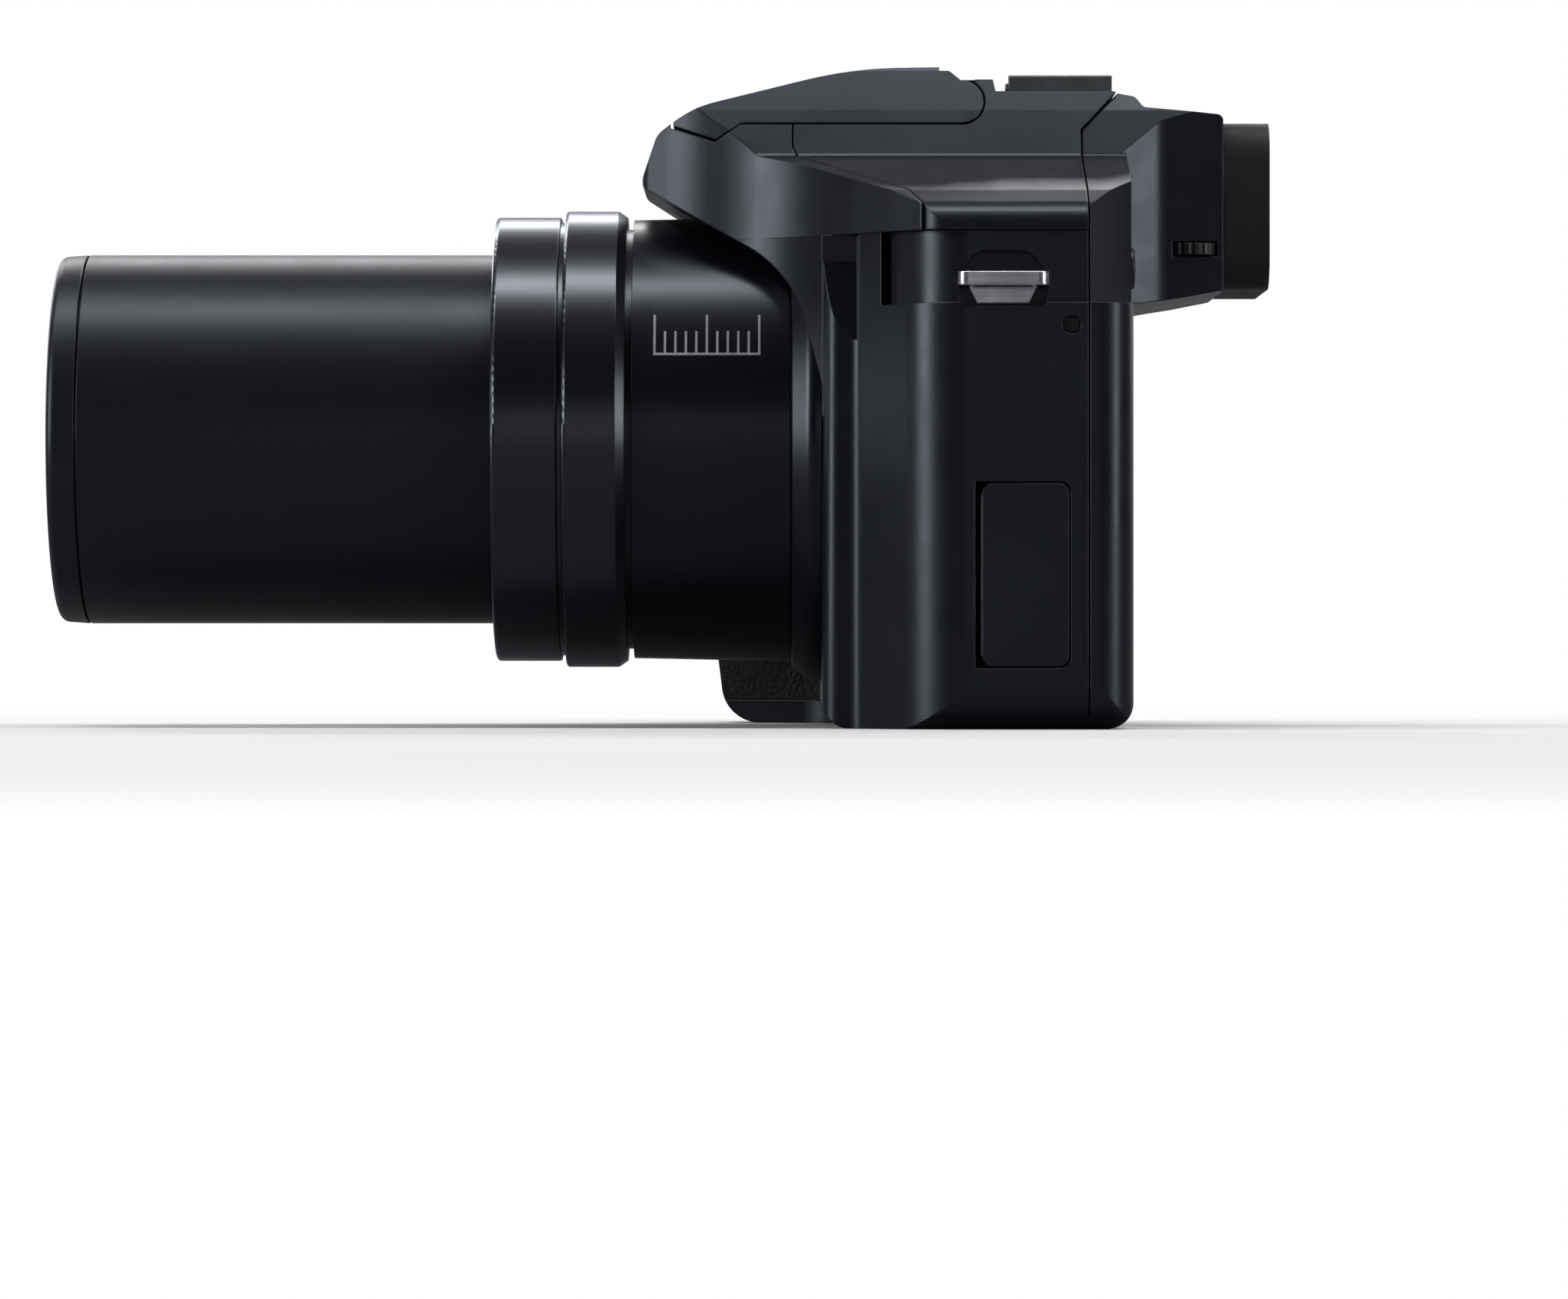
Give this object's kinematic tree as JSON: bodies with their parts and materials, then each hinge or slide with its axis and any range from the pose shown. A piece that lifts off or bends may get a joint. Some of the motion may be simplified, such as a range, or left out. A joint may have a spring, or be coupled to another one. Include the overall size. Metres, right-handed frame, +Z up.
{
  "type": "bridge camera",
  "caption": "Compact all-in-one camera with a long extending zoom lens, moulded grip, raisable flash, hot shoe, electronic viewfinder with eyecup, top and rear controls and a rear display",
  "frame": {"origin": "centre of the tripod thread's mouth in the base; the base plane is z = 0", "axes": "+Y runs from the lens to the eyecup along the optical axis, so the lens points to -Y; +Z is up, from the base to the flash; +X is the camera's left side as held, where the strap lug and terminal door are, and the hand grip is at -X"},
  "size_m": [0.1304, 0.1787, 0.0969],
  "materials": {
    "casing": "near-black moulded plastic with a fine grain and a satin sheen",
    "lens_plastic": "near-black smooth moulding with a soft sheen",
    "ring_plastic": "near-black glossy moulding",
    "inner_plastic": "matt black engineering plastic",
    "grip_rubber": "black rubber with a leather-like grain",
    "button_plastic": "satin black plastic",
    "dial_plastic": "satin black plastic, knurled",
    "shutter_metal": "satin anodised aluminium",
    "lug_metal": "plain stamped steel",
    "shoe_metal": "dark grey painted steel with bare edges",
    "screw_metal": "blackened steel",
    "brass": "bare brass",
    "steel": "bright steel",
    "lens_glass": "coated optical glass",
    "screen_window": "dark hard-coated window",
    "flash_window": "ribbed clear window",
    "lamp_window": "tinted clear window",
    "board": "green circuit board",
    "battery_can": "dark grey wrap on an aluminium can",
    "chassis_metal": "black anodised casting",
    "sensor": "dark reflecting sensor face"
  },
  "bodies": {
    "casing": {"front_cover": "casing", "top_cover": "casing", "rear_cover": "casing", "bottom_cover": "casing", "grip_rubber": "grip_rubber", "thumb_rest": "grip_rubber", "case_screws": "screw_metal", "tripod_socket": "brass", "strap_lug_left": "lug_metal", "strap_lug_right": "lug_metal", "display_window": "screen_window", "display_panel": "screen_window", "focus_lamp_window": "lamp_window", "microphone_plate": "inner_plastic", "hot_shoe": "shoe_metal", "flash_pin": "steel", "viewfinder_housing": "casing", "eyecup": "grip_rubber", "eyepiece_lens": "lens_glass", "lens_collar": "lens_plastic", "lens_tube": "lens_plastic", "tube_ring": "ring_plastic", "front_ring": "ring_plastic", "lens_chassis": "chassis_metal", "zoom_motor": "steel", "image_sensor": "sensor", "main_board": "board", "battery": "battery_can", "card_slot": "steel", "flash_capacitor": "battery_can", "terminal_block": "steel"},
    "front_group": {"zoom_barrel": "lens_plastic", "nose_ring": "lens_plastic", "front_lens": "lens_glass"},
    "cam": {"cam_barrel": "inner_plastic"},
    "pinion": {"zoom_pinion": "brass"},
    "second_group": {"second_lens_group": "lens_glass"},
    "focus_group": {"focus_carrier": "lens_glass"},
    "focus_spindle": {"focus_screw": "steel"},
    "shutter_button_body": {"shutter_button": "shutter_metal"},
    "movie_button_body": {"movie_button": "button_plastic"},
    "burst_button_body": {"burst_button": "button_plastic"},
    "flash_button_body": {"flash_button": "button_plastic"},
    "viewfinder_button_body": {"viewfinder_button": "button_plastic"},
    "lock_button_body": {"lock_button": "button_plastic"},
    "playback_button_body": {"playback_button": "button_plastic"},
    "display_button_body": {"display_button": "button_plastic"},
    "menu_button_body": {"menu_button": "button_plastic"},
    "set_button_body": {"set_button": "button_plastic"},
    "four_way": {"four_way_pad": "button_plastic"},
    "lever": {"zoom_lever": "dial_plastic"},
    "switch": {"power_switch": "button_plastic"},
    "mode": {"mode_dial": "dial_plastic"},
    "command": {"rear_dial": "dial_plastic"},
    "dioptre": {"dioptre_dial": "dial_plastic"},
    "flash": {"flash_head": "casing", "flash_window": "flash_window"},
    "battery_door_body": {"battery_door": "casing"},
    "latch": {"door_latch": "button_plastic"},
    "terminal_door_body": {"terminal_door": "casing"}
  },
  "joints": [
    {"name": "zoom_extend", "type": "slide", "parent": "casing", "child": "front_group", "axis": [0, 1, 0], "range_m": [0, 0.0605]},
    {"name": "cam_turn", "type": "hinge", "parent": "casing", "child": "cam", "pos_m": [0, 0, 0.0427], "axis": [0, 1, 0], "range_deg": [-5, 232]},
    {"name": "pinion_turn", "type": "hinge", "parent": "casing", "child": "pinion", "pos_m": [0.0253, 0, 0.0146], "axis": [0, 1, 0], "range_deg": [-1080, 20]},
    {"name": "second_group_travel", "type": "slide", "parent": "casing", "child": "second_group", "axis": [0, 1, 0], "range_m": [-0.0005, 0.015]},
    {"name": "focus_travel", "type": "slide", "parent": "casing", "child": "focus_group", "axis": [0, 1, 0], "range_m": [-0.003, 0.003]},
    {"name": "focus_spindle_turn", "type": "hinge", "parent": "casing", "child": "focus_spindle", "pos_m": [0, 0, 0.0287], "axis": [0, 1, 0], "range_deg": [-541, 541]},
    {"name": "shutter_press", "type": "slide", "parent": "casing", "child": "shutter_button_body", "axis": [0, 0.2874, -0.9578], "range_m": [0, 0.001], "stiffness_N_per_m": 900},
    {"name": "movie_press", "type": "slide", "parent": "casing", "child": "movie_button_body", "axis": [0, 0, -1], "range_m": [0, 0.0006], "stiffness_N_per_m": 900},
    {"name": "burst_press", "type": "slide", "parent": "casing", "child": "burst_button_body", "axis": [0, 0, -1], "range_m": [0, 0.0006], "stiffness_N_per_m": 900},
    {"name": "flash_press", "type": "slide", "parent": "casing", "child": "flash_button_body", "axis": [0, 0, -1], "range_m": [0, 0.0006], "stiffness_N_per_m": 900},
    {"name": "viewfinder_press", "type": "slide", "parent": "casing", "child": "viewfinder_button_body", "axis": [0, -1, 0], "range_m": [0, 0.0006], "stiffness_N_per_m": 900},
    {"name": "lock_press", "type": "slide", "parent": "casing", "child": "lock_button_body", "axis": [0, -1, 0], "range_m": [0, 0.0006], "stiffness_N_per_m": 900},
    {"name": "playback_press", "type": "slide", "parent": "casing", "child": "playback_button_body", "axis": [0, -1, 0], "range_m": [0, 0.0006], "stiffness_N_per_m": 900},
    {"name": "display_press", "type": "slide", "parent": "casing", "child": "display_button_body", "axis": [0, -1, 0], "range_m": [0, 0.0006], "stiffness_N_per_m": 900},
    {"name": "menu_press", "type": "slide", "parent": "casing", "child": "menu_button_body", "axis": [0, -1, 0], "range_m": [0, 0.0006], "stiffness_N_per_m": 900},
    {"name": "set_press", "type": "slide", "parent": "casing", "child": "set_button_body", "axis": [0, -1, 0], "range_m": [0, 0.0005], "stiffness_N_per_m": 900},
    {"name": "four_way_tilt", "type": "hinge", "parent": "casing", "child": "four_way", "pos_m": [-0.0415, 0.0259, 0.028], "axis": [1, 0, 0], "range_deg": [-2, 2], "stiffness_Nm_per_rad": 0.5},
    {"name": "zoom_lever_turn", "type": "hinge", "parent": "casing", "child": "lever", "pos_m": [-0.0605, -0.0245, 0.0762], "axis": [0, -0.2874, 0.9578], "range_deg": [-15, 15], "stiffness_Nm_per_rad": 0.08},
    {"name": "power_switch_slide", "type": "slide", "parent": "casing", "child": "switch", "axis": [1, 0, 0], "range_m": [0, 0.004]},
    {"name": "mode_dial_turn", "type": "hinge", "parent": "casing", "child": "mode", "pos_m": [-0.04, 0.008, 0.079], "axis": [0, 0, 1], "continuous": true},
    {"name": "rear_dial_turn", "type": "hinge", "parent": "casing", "child": "command", "pos_m": [-0.045, 0.0196, 0.0716], "axis": [0, 0, 1], "continuous": true},
    {"name": "dioptre_dial_turn", "type": "hinge", "parent": "casing", "child": "dioptre", "pos_m": [0.0184, 0.0356, 0.07], "axis": [0, 0, 1], "range_deg": [-40, 40]},
    {"name": "flash_raise", "type": "hinge", "parent": "casing", "child": "flash", "pos_m": [0, 0.0019, 0.0916], "axis": [-1, 0, 0], "range_deg": [0, 35]},
    {"name": "battery_door_swing", "type": "hinge", "parent": "casing", "child": "battery_door_body", "pos_m": [-0.0506, 0, 0.0015], "axis": [0, -1, 0], "range_deg": [0, 95]},
    {"name": "door_latch_slide", "type": "slide", "parent": "battery_door_body", "child": "latch", "axis": [1, 0, 0], "range_m": [0, 0.003]},
    {"name": "terminal_door_swing", "type": "hinge", "parent": "casing", "child": "terminal_door_body", "pos_m": [0.052, 0.0046, 0.022], "axis": [0, 0, -1], "range_deg": [0, 100]}
  ],
  "couplings": [
    {"joint": "cam_turn", "follows": "zoom_extend", "rad_per_m": 63.467},
    {"joint": "pinion_turn", "follows": "zoom_extend", "rad_per_m": -279.25},
    {"joint": "second_group_travel", "follows": "zoom_extend", "ratio": 0.23},
    {"joint": "focus_spindle_turn", "follows": "focus_travel", "rad_per_m": 3141.6}
  ]
}
